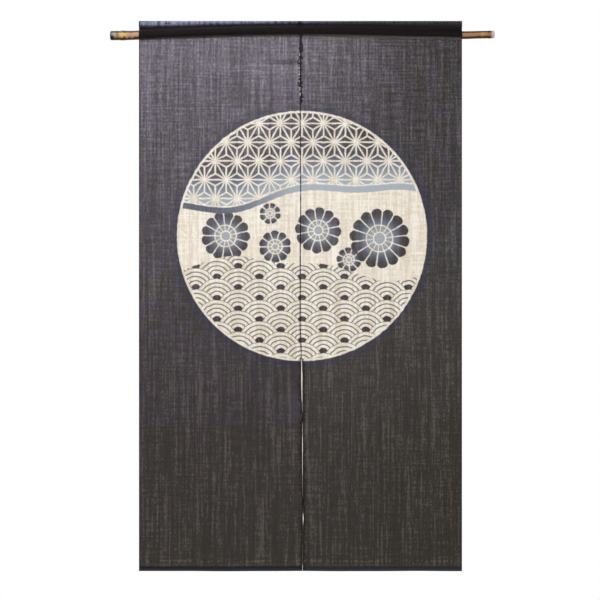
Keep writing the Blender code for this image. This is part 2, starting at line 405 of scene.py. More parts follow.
@dataclass(frozen=True)
class Medallion:
    """The bare disc in the dye, with a generic pattern: leaf lattice, mist, flowers and waves.

    Its sizes below the radius are shares of the radius.
    """

    centre_x: float = 0.0049
    centre_drop: float = 0.5573
    radius: float = 0.3410
    edge_softness: float = 0.0050
    cut_wobble: float = 0.0060
    rim: float = 0.018
    halo: float = 0.085
    lattice_height: float = 0.150
    lattice_line: float = 0.0062
    mist_line: float = 0.055
    wave_radius: float = 0.170
    wave_line: float = 0.0042
    flowers: tuple[FlowerHead, ...] = (
        FlowerHead(-0.610, 0.000, 0.195, 13, 0.20),
        FlowerHead(-0.215, -0.085, 0.130, 10, 0.55),
        FlowerHead(0.130, 0.045, 0.185, 12, 0.35),
        FlowerHead(0.620, -0.020, 0.240, 14, 0.75),
        FlowerHead(-0.255, 0.180, 0.085, 8, 0.10),
        FlowerHead(0.375, -0.190, 0.100, 9, 0.60),
    )

    def paint(self, coat: Coat) -> Ink:
        """Works out the pattern.

        Three regions lie one above another, parted by two wavy mist edges: a hemp-leaf lattice,
        flower heads on bare cloth, and overlapping wave scales.

        Args:
            coat: The cloth's coat, with its coordinates.

        Returns:
            How bare the cloth is, how pale the dye is, and the halo.
        """
        wobble = coat.cloudy(70, 70, 3.1) * self.cut_wobble
        x = (coat.across - self.centre_x) / self.radius + wobble
        z = (self.centre_drop - coat.down) / self.radius - wobble
        reach = coat.length(x, z)
        above = z - self.mist_edge(x, 0.285, 0.095, 2.4, 0.5)
        below = self.mist_edge(x, -0.255, 0.080, 2.7, 2.6) - z
        upper = self.crisp(above, 0.0)
        lower = self.crisp(below, 0.0)
        mist = self.crisp(self.mist_line - above, 0.0)
        mist_gap = self.crisp((above - self.mist_line).math("ABSOLUTE"), self.lattice_line, less=True)
        blooms = self.flower_heads(coat, x, z)
        waves = self.wave_scales(coat, x, z)
        bare_upper = (self.leaf_lattice(coat, x, z) * (1 - mist)).math("MAXIMUM", mist_gap)
        bare = coat.pick(lower, coat.pick(upper, blooms.bare, bare_upper), waves.bare)
        rim = self.crisp(reach, 1 - self.rim)
        disc = self.crisp(reach, 1.0, less=True)
        graded = (x * 2.1 + 0.6).math("SINE").ease(-1.0, 1.0, 0.30, 1.0)
        pale_upper = coat.pick(mist, above.ease(0.0, 0.42, 0.95, 0.0), graded)
        pale = coat.pick(lower, coat.pick(upper, blooms.pale, pale_upper), waves.pale)
        halo = reach.ease(1.0 + self.halo, 1.0) * (1 - disc)
        return Ink(bare.math("MAXIMUM", rim) * disc, pale * disc, halo)

    def crisp(self, value: Wire, limit: float, less: bool = False) -> Wire:
        """One where the value is past the limit, or short of it, with a soft dyed edge."""
        low, high = limit - self.edge_softness, limit + self.edge_softness
        return value.ease(high, low) if less else value.ease(low, high)

    def mist_edge(self, x: Wire, height: float, swell: float, rate: float, start: float) -> Wire:
        """Height of a mist edge: a long sine along x and a third of it at nearly three times the rate."""
        long = (x * rate + start).math("SINE")
        short = (x * (2.7 * rate) + (start * 2 + 0.9)).math("SINE")
        return height + swell * long + swell / 3 * short

    def leaf_lattice(self, dye: Nodes, x: Wire, z: Wire) -> Wire:
        """Lines of the hemp-leaf lattice.

        Three fractions of the distance along directions 120 degrees apart give a place in its
        triangle. A line lies where the least of them is near zero, on a triangle's side, or where
        the two least are alike, on a line from its middle to a corner.
        """
        place = dye.vector(x, z)
        parts = []
        for angle in map(math.radians, (90, 210, 330)):
            heading = (math.cos(angle) / self.lattice_height, math.sin(angle) / self.lattice_height, 0)
            settings = {"operation": "DOT_PRODUCT"}
            along = dye.node("ShaderNodeVectorMath", settings, {0: place, 1: heading}, "Value")
            parts.append(along.math("FRACT"))
        turned = (parts[0] + parts[1] + parts[2]).math("GREATER_THAN", 1.5)
        parts = [(value - turned).math("ABSOLUTE") for value in parts]
        least = parts[0].math("MINIMUM", parts[1]).math("MINIMUM", parts[2])
        most = parts[0].math("MAXIMUM", parts[1]).math("MAXIMUM", parts[2])
        to_side = least * self.lattice_height
        to_vein = (1 - most - least - least) * (self.lattice_height / math.sqrt(3))
        return self.crisp(to_side.math("MINIMUM", to_vein), self.lattice_line, less=True)

    def flower_heads(self, dye: Nodes, x: Wire, z: Wire) -> Ink:
        """Flowers on bare cloth.

        Around a flower the angle is folded once for each petal. A petal ends on a rounded tip,
        and thin bare lines part it from its neighbours.
        """
        dyed: Optional[Wire] = None
        pale: Optional[Wire] = None
        for flower in self.flowers:
            away_x = x - flower.x
            away_z = z - flower.z
            reach = dye.length(away_x, away_z) / flower.radius
            turn = away_x.math("ARCTAN2", away_z) * (flower.petals / (2 * math.pi)) + (flower.turn + flower.petals)
            fold = (turn.math("FRACT") - 0.5).math("ABSOLUTE") * 2
            tip = (1.02 - fold * fold).math("SQRT") * 0.20 + 0.80
            gap = (1 - fold) * reach * (math.pi / flower.petals * flower.radius)
            inside = self.crisp((tip - reach) * flower.radius, 0.0)
            parted = self.crisp(gap, 0.0045)
            ring = self.crisp((reach - 0.44).math("ABSOLUTE") * flower.radius, 0.0055)
            heart = self.crisp((reach - 0.20).math("ABSOLUTE") * flower.radius, 0.0065)
            shape = inside * parted.math("MAXIMUM", (0.20 - reach).ease(-0.02, 0.02)) * ring * heart
            tone = reach.ease(0.15, 0.95, 0.85, 0.05) * shape
            dyed = shape if dyed is None else dyed.math("MAXIMUM", shape)
            pale = tone if pale is None else pale.math("MAXIMUM", tone)
        return Ink(1 - dyed, pale)

    def wave_scales(self, dye: Nodes, x: Wire, z: Wire) -> Ink:
        """Overlapping wave scales.

        Rows of circles lie half a radius apart, each row shifted by a radius. A place belongs to
        the lowest of three rows whose circle holds it, and lines lie at fifths of that radius.
        """
        along = x / self.wave_radius
        up = z / self.wave_radius
        row = (up * 2).math("CEIL") - 2
        side = (along + row).math("PINGPONG", 1.0)
        rise = up - row * 0.5
        low = dye.length(side, rise)
        middle = dye.length(1 - side, rise - 0.5)
        high = dye.length(side, rise - 1)
        higher = dye.pick(middle.math("LESS_THAN", 1.0), high, middle)
        reach = dye.pick(low.math("LESS_THAN", 1.0), higher, low)
        near_ring = ((reach * 5 + 0.5).math("FRACT") - 0.5).math("ABSOLUTE") * (self.wave_radius / 5)
        line = self.crisp(near_ring, self.wave_line, less=True)
        return Ink(1 - line.math("MAXIMUM", reach.ease(0.26, 0.22)), reach.ease(0.2, 1.0, 0.0, 0.25))


@dataclass(frozen=True)
class BambooRod:
    """The bamboo pole: bowed, tapered, with one joint near its left tip and cut ends."""

    left_end: float = -0.518
    right_end: float = 0.530
    middle_radius: float = 0.0115
    taper: float = 0.0022
    bow_left: float = 0.0110
    bow_right: float = 0.0085
    reach_left: float = 0.4620
    half_right: float = 0.46
    levelling: float = 12.0
    crook_x: float = 0.447
    crook_depth: float = 0.0013
    crook_reach: float = 0.030
    joint_x: float = -0.483
    joint_rise: float = 0.0008
    joint_reach: float = 0.0065
    second_joint_x: float = 0.5150
    second_joint_rise: float = 0.0004
    groove_depth: float = 0.0005
    end_rounding: float = 0.0042
    sides: int = 48
    ring_step: float = 0.0030

    def axis(self, x: np.ndarray) -> np.ndarray:
        """Height of the axis.

        Leftwards it falls with the square of the distance and levels off beyond the cloth.
        Rightwards it falls as a half wave of a cosine and has a shallow crook where it leaves
        the cloth.

        Args:
            x: Places along the pole.

        Returns:
            The height of the axis at each place.
        """
        far = (x / self.reach_left) ** 2
        left = self.bow_left * far / (1 + far**self.levelling) ** (1 / self.levelling)
        crook = self.crook_depth * np.exp(-(((x - self.crook_x) / self.crook_reach) ** 2))
        right = self.bow_right * (1 - np.cos(np.pi * x / self.half_right)) / 2 + crook
        return -np.where(x < 0, left, right)

    def plain_radius(self, x: np.ndarray) -> np.ndarray:
        """Radius of the pole without its joint, thinner towards +X."""
        return self.middle_radius - self.taper * x

    def surface_radius(self, x: np.ndarray) -> np.ndarray:
        """Radius with both joints: rounded ridges, the left one beside a narrow groove."""
        away = (x - self.joint_x) / self.joint_reach
        ridge = self.joint_rise * np.exp(-(away**2))
        groove = self.groove_depth * np.exp(-((x - self.joint_x + 0.010) / 0.0011) ** 2)
        second = self.second_joint_rise * np.exp(-(((x - self.second_joint_x) / 0.0035) ** 2))
        return self.plain_radius(x) + ridge - groove + second

    def points(self) -> tuple[np.ndarray, np.ndarray]:
        """Works out the skin.

        Rings square to X, each a circle of the surface radius that swells and dips a little round
        the pole. At each end the radius follows a quarter circle in and then runs flat to the axis.

        Returns:
            The points, ring by ring, and their (along, around) coordinates.
        """
        count = round((self.right_end - self.left_end) / self.ring_step)
        turn = np.linspace(0, np.pi / 2, 6)
        inset = self.end_rounding
        inward = inset * (1 - np.sin(turn))
        pulled_in = inset * (1 - np.cos(turn))
        middle = np.linspace(self.left_end + inset, self.right_end - inset, count)[1:-1]
        x = np.concatenate([(self.left_end + inward)[::-1], middle, self.right_end - inward])
        pulled = np.concatenate([pulled_in[::-1], np.zeros(len(middle)), pulled_in])
        angle = np.arange(self.sides) / self.sides * 2 * np.pi
        uneven = 0.00012 * np.sin(3 * angle + 9 * x[:, None]) + 0.00010 * np.sin(61 * x[:, None])
        radius = (self.surface_radius(x) - pulled)[:, None] + uneven
        height = self.axis(x)[:, None] + radius * np.sin(angle)
        points = np.stack([np.broadcast_to(x[:, None], radius.shape), radius * np.cos(angle), height], axis=-1)
        return points, np.stack(np.broadcast_arrays(x[:, None], angle / (2 * np.pi)), axis=-1)

    def build(self) -> bpy.types.Object:
        """Builds the pole with its end faces, and dresses it."""
        points, labels = self.points()
        rings = len(points)
        faces = grid_faces(rings, self.sides, wrap=True).tolist()
        first = list(range(self.sides))
        last = [(rings - 1) * self.sides + index for index in first][::-1]
        piece = make_piece("bamboo_rod", points, faces + [first, last], [BambooFinish().build(self)])
        write_map(piece, labels.reshape(-1, 2))
        outward(piece)
        finish_piece(piece, ["rod"])
        return piece


@dataclass(frozen=True)
class BambooFinish:
    """Old bamboo skin: tan in front, gold at the joint, darker along its top and underside with dark mottles and
    painted shade.
    """

    tan: Colour = (0.430, 0.235, 0.118)
    deep_tan: Colour = (0.380, 0.190, 0.086)
    gold: Colour = (0.500, 0.340, 0.105)
    # dark skin colours of the underside and the top, laid as dark mottles and as painted shade where the rod turns
    # away from the light
    under_skin_and_shade: Colour = (0.046, 0.014, 0.003)
    top_skin_and_shade: Colour = (0.024, 0.014, 0.004)
    ring_brown: Colour = (0.230, 0.125, 0.075)
    olive: Colour = (0.260, 0.245, 0.140)
    char: Colour = (0.010, 0.009, 0.007)
    groove: Colour = (0.190, 0.065, 0.025)
    cut: Colour = (0.640, 0.540, 0.530)
    roughness: float = 0.46

    def build(self, rod: BambooRod) -> bpy.types.Material:
        """Makes the material, with its marks where the rod's joint and ends are."""
        coat = Coat("bamboo_skin", self.tan)
        along = coat.across
        fibres = coat.cloudy(22, 90, 2.0, detail=2.0)
        mottles = coat.cloudy(120, 3, 5.0, detail=1.0)
        rise = (coat.down * (2 * math.pi)).math("SINE")
        coat.lay(along.ease(-0.46, 0.40), self.deep_tan)
        coat.lay((fibres + 0.5).ease(0.35, 0.75, 0.0, 0.45), self.deep_tan)
        second = along.near(rod.second_joint_x - 0.018, 0.0095, 0.0015) * 0.45
        coat.lay(along.near(rod.joint_x, 0.0125, 0.0080).math("MAXIMUM", second), self.gold)
        coat.lay(along.near(rod.joint_x - 0.0145, 0.0060, 0.0010) * 0.90, self.ring_brown)
        coat.lay(along.ease(rod.joint_x - 0.0170, rod.joint_x - 0.0200), self.olive)
        swollen = along.near(rod.second_joint_x, 0.0060, 0.0020)
        # the dark joint ring is laid heavier towards the top and underside, partly as painted shade
        coat.lay(swollen * rise.math("ABSOLUTE").ease(0.20, 0.70, 0.30, 1.0), self.groove)
        # dark mottles and painted shade along the top
        upper = (rise + mottles * 0.25 + fibres * 0.25).ease(0.36, 0.70)
        coat.lay(upper * 0.94, self.top_skin_and_shade)
        near_end = along.ease(rod.left_end + 0.0160, rod.left_end + 0.0040)
        bites = mottles * along.ease(-0.40, 0.40, 0.80, 0.25)
        # dark mottles and painted shade along the underside
        lower = (bites + fibres * 0.30 - rise + near_end * 0.3).ease(0.20, 0.56)
        coat.lay(lower * 0.96, self.under_skin_and_shade)
        tip = along.ease(rod.left_end + 0.0050, rod.left_end + 0.0012)
        coat.lay(tip.math("MAXIMUM", near_end * (0 - rise).ease(0.10, 0.60)), self.char)
        pale = along.ease(rod.right_end - 0.0128, rod.right_end - 0.0030)
        coat.lay(pale * (0.80 - mottles * 0.5), self.cut)
        roughness = fibres.ease(-0.3, 0.3, self.roughness - 0.1, self.roughness + 0.12)
        relief = coat.bump(fibres * 0.5 + mottles * 0.5, 0.25, 0.0006)
        return coat.dress(coat.colour, roughness, Specular_IOR_Level=0.14, Normal=relief)


class SideLook(NamedTuple):
    """What differs between the dye of the two lengths.

    The thick dye and the violet are given by drops, the seam's dark margin by its width.
    """

    noise_shift: float
    thickens_from: float
    thickest_at: float
    violet_until: float
    violet_share: float
    seam_reach: float
    hem: Colour


class Crease(NamedTuple):
    """A shallow crease along a parabola, painted as a highlight line over a shade line."""

    centre: float
    level: float
    sag: float
    reach: float


class HempCoat(Coat):
    """The coat of one length, with what its layers need to know of a place on the cloth."""

    def __init__(self, name: str, side: Side, look: SideLook) -> None:
        """Starts the coat with its places and its thread pattern."""
        super().__init__(name, (0.0, 0.0, 0.0))
        self.side = side
        self.look = look
        self.drop = self.down
        self.height = self.part(self.object_place(), "Z")
        self.above = self.height - self.rod_underside()
        self.above_rod = self.above.ease(-0.0016, 0.0016)
        self.slubs = self.uneven_threads()
        self.open_share: Number = 1.0

    def shut(self, share: Number) -> None:
        """Closes a share of what is open."""
        self.open_share = self.open_share * (1 - share)

    def uneven_threads(self) -> Wire:
        """Thick and thin threads: upright streaks of three lengths, level ones, and broad bands.

        The square of their sum is added, so that thin open places stand out more than thick ones.
        """
        lower = self.drop.ease(0.25, 1.10)
        layers = (
            (116, 4, 0.58 + lower * 0.06),
            (290, 6, 0.62 + lower * 0.10),
            (170, 24, 0.52),
            (210, 118, 0.72 - lower * 0.16),
            (14, 215, 0.66 - lower * 0.20),
            (42, 3, 0.34),
        )
        mixed = sum(
            self.cloudy(across, down, self.look.noise_shift + index) * share
            for index, (across, down, share) in enumerate(layers)
        )
        return mixed + mixed * mixed * 0.6 - 0.012

    def rod_underside(self) -> Wire:
        """Height of the rod's underside: its bow as in BambooRod.axis, and its radius falls towards +X."""
        rod = BambooRod()
        if self.side is Side.LEFT:
            away = self.across / rod.reach_left
            fall = away * away * rod.bow_left
        else:
            crook = ((self.across - rod.crook_x) / (rod.crook_reach * 1.8)).math("ABSOLUTE").ease(1.0, 0.0)
            fall = (1 - (self.across * (math.pi / rod.half_right)).math("COSINE")) * (rod.bow_right / 2)
            fall = fall + crook * rod.crook_depth
        return self.across * (rod.taper + 0.0010) - fall - rod.middle_radius - 0.0004

    def weave(self, pitch: float) -> tuple[Wire, Wire]:
        """Thread crossings: the product of two sines for the relief, and the holes between threads."""
        warp = (self.across * (math.pi / pitch)).math("SINE")
        weft = (self.drop * (math.pi / pitch)).math("SINE")
        return warp * weft, (1 - warp.math("ABSOLUTE")) * (1 - weft.math("ABSOLUTE"))

    def corner_dye_and_light(self) -> Wire:
        """How thin the dye is, with painted light from the upper left: full at the upper left, fading to the right
        and down.
        """
        level = self.across.ease(-0.05, 0.36, 1.0, 0.05)
        return level * (self.drop.math("MAXIMUM", 0.0) * -2.4).math("EXPONENT")


@dataclass(frozen=True)
class HempFinish:
    """Sheer plain-weave hemp, dyed nearly black, with uneven threads."""

    side: Side
    medallion: Medallion = Medallion()
    left_look: SideLook = SideLook(4.0, 0.33, 1.10, 1.072, 0.76, 0.0022, (0.019, 0.018, 0.021))
    right_look: SideLook = SideLook(9.0, 0.52, 1.30, 0.62, 0.62, 0.0062, (0.027, 0.025, 0.030))
    creases: tuple[Crease, ...] = (Crease(0.240, 0.1400, 0.80, 0.050), Crease(0.405, 0.0430, 0.20, 0.028))
    left_edge: float = -0.4395
    bottom: float = 1.4710
    thread_pitch: float = 0.00125
    sewn_until: float = 0.190
    frayed_from: float = 0.885
    turned_open: float = 0.85
    bare_colour: Colour = (0.98, 0.920, 0.800)
    bare_shade: Colour = (0.78, 0.680, 0.530)
    pale_colour: Colour = (0.42, 0.46, 0.50)
    slate_colour: Colour = (0.10, 0.12, 0.17)
    # painted light: the warm glow of light shining through thin threads
    glow_through_threads: Colour = (0.084, 0.067, 0.049)
    dye_black: Colour = (0.0140, 0.0076, 0.0078)
    dye_violet: Colour = (0.0600, 0.0320, 0.0790)
    dye_brown: Colour = (0.0275, 0.0215, 0.0150)
    # painted light: lighter cloth under the rod, where the rod blocks the light through the cloth
    painted_light_under_rod: Colour = (0.120, 0.104, 0.110)
    halo_colour: Colour = (0.0240, 0.0260, 0.0560)
    # the dark selvage colour, also used for the creases' painted shade lines
    selvage_and_crease_shade: Colour = (0.0110, 0.0080, 0.0130)
    slit_colour: Colour = (0.0110, 0.0080, 0.0055)
    # painted light in the crease above the rod, and painted shade over the rod's bulge
    painted_crease_light: Colour = (0.026, 0.025, 0.025)
    painted_channel_shade: Colour = (0.0094, 0.0092, 0.0082)
    # painted highlight colours: the top fold's highlight at its left end, also used for the creases' highlight
    # lines, and at its right end
    fold_highlight_left: Colour = (0.212, 0.220, 0.312)
    fold_highlight_right: Colour = (0.046, 0.046, 0.052)
    lapped_colour: Colour = (0.066, 0.052, 0.088)
    ochre: Colour = (0.098, 0.066, 0.030)
    hem_blue: Colour = (0.055, 0.055, 0.075)

    def build(self, name: str, with_medallion: bool) -> bpy.types.Material:
        """Makes the material.

        Args:
            name: The material's name.
            with_medallion: Whether the medallion's pattern is worked out.

        Returns:
            The material.
        """
        look = self.left_look if self.side is Side.LEFT else self.right_look
        coat = HempCoat(name, self.side, look)
        drop, slubs = coat.drop, coat.slubs
        weave, holes = coat.weave(self.thread_pitch)
        # thinner dye and painted light, strongest at the upper left: the cloth there is more open and more violet
        dye_and_light_fade = coat.corner_dye_and_light()
        contrast = 1.14 - dye_and_light_fade * 0.12 - drop.ease(0.20, 0.55, 0.0, 0.26) + drop.ease(0.72, 1.05) * 0.16
        base = drop.ease(look.thickens_from, look.thickest_at, 0.0452, 0.0157)
        coat.open_share = (base + dye_and_light_fade * 0.100) * (1 + slubs * contrast) * (0.80 + holes * 1.5)
        coat.shut(coat.above_rod * 0.80)
        self.dye(coat, dye_and_light_fade)
        if with_medallion:
            self.pattern(coat)
        else:
            self.heading_fold(coat)
            self.marks_and_painted_creases(coat)
            self.hem_marks(coat)
        self.edges(coat)
        turned = coat.stored(TURNED_END)
        open_share = coat.pick(turned, coat.open_share.math("MAXIMUM", 0.002), self.turned_open)
        cover = 1 - open_share.math("SQRT")
        relief = coat.bump(slubs * 0.6 + weave * 0.25, 0.35, 0.0008)
        return coat.dress(coat.colour, 0.92, Specular_IOR_Level=0.06, Alpha=cover, Normal=relief)

    def dye(self, coat: HempCoat, dye_and_light_fade: Wire) -> None:
        """Black dye that turns violet where it is thin and brown towards the hem, with thin threads painted
        lighter as light shining through them, and with painted light at the upper left.
        """
        drop, slubs = coat.drop, coat.slubs
        turn = coat.look.violet_until
        patches = coat.cloudy(26, 17, 21.0, detail=1.0) * drop.ease(turn + 0.06, turn - 0.30, 0.12, 0.80)
        below = 1 - coat.above_rod
        # the violet is stronger at the upper left, partly painted light
        violet = below * dye_and_light_fade * coat.look.violet_share + drop.ease(turn - 0.006, turn + 0.006, 0.08, 0.0)
        violet = (violet + patches) * (1 + slubs * 1.3) * drop.ease(0.012, 0.024)
        # painted light: thin threads lighter towards the hem, as light shining through them
        lit = slubs.ease(0.02, 0.45, 0.0, 0.58) * drop.ease(0.30, 1.05, 0.35, 1.0) * below
        coat.colour = coat.blend(drop.ease(0.35, 1.10), self.dye_black, self.dye_brown)
        coat.lay(lit, self.glow_through_threads)
        coat.lay(violet.share(), self.dye_violet)

    def pattern(self, coat: HempCoat) -> None:
        """The medallion: its bare cloth, its pale dyes and the dark halo round it."""
        ink = self.medallion.paint(coat)
        streaked = coat.blend(0.5 - coat.slubs * 1.6, self.bare_colour, self.bare_shade)
        coat.lay(ink.halo * 0.6, self.halo_colour)
        coat.lay(ink.pale.ease(0.0, 0.5), self.slate_colour)
        coat.lay(ink.pale.ease(0.3, 1.0), self.pale_colour)
        coat.lay(ink.bare, streaked)
        coat.shut(ink.halo * 0.22)

    def heading_fold(self, coat: HempCoat) -> None:
        """The painted highlight on the top fold, and the channel's painted shading.

        The fold is painted with a pale bluish highlight at the left that fades to nearly as dark as the
        rest at the right. The channel is painted with shade over the rod, with a little painted light
        in the crease above it, and with painted light under the rod.
        """
        across, height, above = coat.across, coat.height, coat.above
        # painted highlight: a band on the front of the top fold, where the light from above falls; its lower edge
        # is lower at the left
        lower = across.ease(-0.50, -0.10, 0.0122, 0.0214) + across.ease(0.10, 0.42, 0.0, -0.0032)
        wear_and_highlight = ((height - lower) / across.ease(-0.35, 0.0, 0.0052, 0.0034)).ease(-1.0, 1.0)
        tone = coat.blend(across.ease(-0.27, 0.20), self.fold_highlight_left, self.fold_highlight_right)
        # the painted highlight is dimmer at the very top edge near the left end, and along the outer left edge
        highlight_below_top = coat.pick(across.ease(-0.38, -0.15), height.ease(0.0285, 0.0235, 0.42, 1.0), 1.0)
        highlight_edge_dimming = across.ease(-0.440, -0.424, 0.50, 1.0)
        # lays the painted highlight, streaked by the threads and fading to the right
        coat.lay((wear_and_highlight * highlight_below_top * highlight_edge_dimming * (0.80 + coat.slubs * 1.7)).share(), tone)
        # painted shade: darker over the rod's bulge
        coat.lay(above.ease(0.0045, 0.0085) * above.ease(0.0250, 0.0200) * 0.62, self.painted_channel_shade)
        # painted light: lighter in the crease above the rod, below the fold's highlight
        coat.lay(above.ease(0.0222, 0.0256) * (1 - wear_and_highlight) * 0.66, self.painted_crease_light)
        # painted light: lighter just under the rod, more so towards the right
        under = above.ease(0.0058, -0.0008) * above.ease(-0.0040, -0.0014) * across.ease(-0.42, 0.42, 0.46, 1.0)
        coat.lay(under * (1 + coat.slubs), self.painted_light_under_rod)

    def marks_and_painted_creases(self, coat: HempCoat) -> None:
        """Marks on the plain cloth, and painted crease shading.

        On the left length, beside the seam, a narrow band just above a level line is darker, and the
        stretch below it is lighter and more violet; there is a violet patch where the free edge laps
        forward. On the right length two shallow creases are painted, each a painted highlight line over
        a painted shade line along a parabola.
        """
        across, drop = coat.across, coat.drop
        if self.side is Side.RIGHT:
            for crease in self.creases:
                away = across - crease.centre
                line = drop - crease.level + away * away * crease.sag
                mask = away.math("ABSOLUTE").ease(crease.reach, crease.reach * 0.4)
                # painted highlight line, then painted shade line, of each crease
                coat.lay(line.near(-0.0014, 0.0024, 0.0004) * mask * 0.22, self.fold_highlight_left)
                coat.lay(line.near(0.0016, 0.0026, 0.0006) * mask * 0.7, self.selvage_and_crease_shade)
            return
        stretch = across.ease(-0.16, -0.03) * drop.ease(0.0895, 0.0915) * drop.ease(0.30, 0.12)
        coat.lay(stretch * 0.55, self.dye_violet)
        # a narrow band just above a level line is darker, and below it the cloth is lighter
        above_step = drop.ease(0.0700, 0.0880) * drop.ease(0.0908, 0.0892) * across.ease(-0.13, -0.02)
        below_step = drop.ease(0.0886, 0.0912) * drop.ease(0.1300, 0.0960) * across.ease(-0.32, -0.08)
        coat.shut(above_step * 0.40 - below_step * 0.24)
        bluish = (across - self.left_edge).ease(0.026, 0.004) * (drop * 34).math("SINE").ease(-0.6, 0.9)
        coat.lay(bluish * drop.ease(0.90, 1.00) * 0.24, self.dye_violet)
        coat.lay(across.ease(-0.045, -0.012) * drop.near(1.020, 0.055, 0.010) * 0.45, self.lapped_colour)

    def hem_marks(self, coat: HempCoat) -> None:
        """The hem: an ochre thread line, a paler strip, then the dense turned-up band."""
        rise = self.bottom - coat.drop
        patchy = (0.35 + coat.slubs * 3.2).share()
        coat.lay(rise.near(0.0270, 0.0046, 0.0012) * patchy, self.ochre)
        band = rise.ease(0.0150, 0.0120)
        coat.lay(band, coat.look.hem)
        coat.lay(rise.near(0.0050, 0.0018, 0.0004) * 0.6, self.hem_blue)
        coat.shut(rise.near(0.0175, 0.0040, 0.0010) * -0.35)
        coat.shut(band * 0.55)

    def edges(self, coat: HempCoat) -> None:
        """Both long edges: a dense dark selvage outside, and a frayed inner one.

        Along the seam the inner edge is doubled by its allowance, so it is dark further in.
        """
        ragged = coat.cloudy(260, 190, 31.0) * 1.3 + coat.cloudy(90, 60, 33.0) * 0.9
        rim = (coat.stored(OUTER_EDGE) + ragged * 0.0015).ease(0.0032, 0.0014)
        coat.lay(rim, self.selvage_and_crease_shade)

        def changing(seam: float, middle: float, added: float) -> Wire:
            """A value that changes where the seam ends, and by as much again where the slit opens."""
            sewn = coat.drop.ease(self.sewn_until, self.sewn_until + 0.015, seam, middle)
            return sewn + coat.drop.ease(self.frayed_from, self.frayed_from + 0.012, 0.0, added)

        frayed = coat.drop.ease(self.frayed_from, self.frayed_from + 0.012)
        reach = changing(coat.look.seam_reach, 0.0011, 0.0054)
        uneven = changing(0.0090, 0.0010, 0.0060)
        inward = coat.stored(INNER_EDGE) + ragged * uneven - reach
        fringe = (inward / (0.0009 + frayed * 0.0027)).ease(1.0, -1.0) * (0.92 - frayed * 0.14)
        coat.lay(fringe, coat.blend(frayed, self.selvage_and_crease_shade, self.slit_colour))
        coat.shut(rim.math("MAXIMUM", fringe) * 0.9)


@dataclass(frozen=True)
class ThreadFinish:
    """Sewing thread with a fine twist."""

    name: str
    colour: Colour
    wear_and_highlight: Colour

    def build(self) -> bpy.types.Material:
        """Makes the material."""
        dye = Nodes(bpy.data.materials.new(self.name))
        place = dye.object_place()
        wear = dye.node("ShaderNodeTexNoise", {}, {"Vector": place, "Scale": 420.0, "Detail": 1.0})
        twist = (dye.part(place, "Z") * 9000 + dye.part(place, "X") * 9000).math("SINE")
        colour = dye.blend(wear.ease(0.35, 0.65), self.colour, self.wear_and_highlight)
        return dye.dress(colour, 0.8, Specular_IOR_Level=0.1, Normal=dye.bump(twist, 0.3, 0.0001))


@dataclass(frozen=True)
class SelvageFinish:
    """The lengths' thick edge thread: dyed down to the medallion's foot, then mostly undyed."""

    dyed: Colour = (0.024, 0.017, 0.030)
    undyed: Colour = (0.64, 0.50, 0.38)
    brown: Colour = (0.120, 0.088, 0.062)

    def build(self) -> bpy.types.Material:
        """Makes the material; its colour changes with the height, unevenly."""
        dye = Nodes(bpy.data.materials.new("selvage"))
        place = dye.object_place()
        height = dye.part(place, "Z")
        patches = dye.node("ShaderNodeTexNoise", {}, {"Vector": place, "Scale": 60.0, "Detail": 1.0})
        lower = (height + patches * 0.02).ease(-0.850, -0.868)
        wear_and_highlight = height.near(-1.052, 0.022, 0.010) + height.ease(-1.17, -1.30, 0.0, 0.7)
        wear_and_highlight = (wear_and_highlight + patches.ease(0.50, 0.75, 0.0, 0.5)).math("MINIMUM", 1.0)
        colour = dye.blend(lower, self.dyed, dye.blend(wear_and_highlight, self.undyed, self.brown))
        return dye.dress(colour, 0.85, Specular_IOR_Level=0.1)


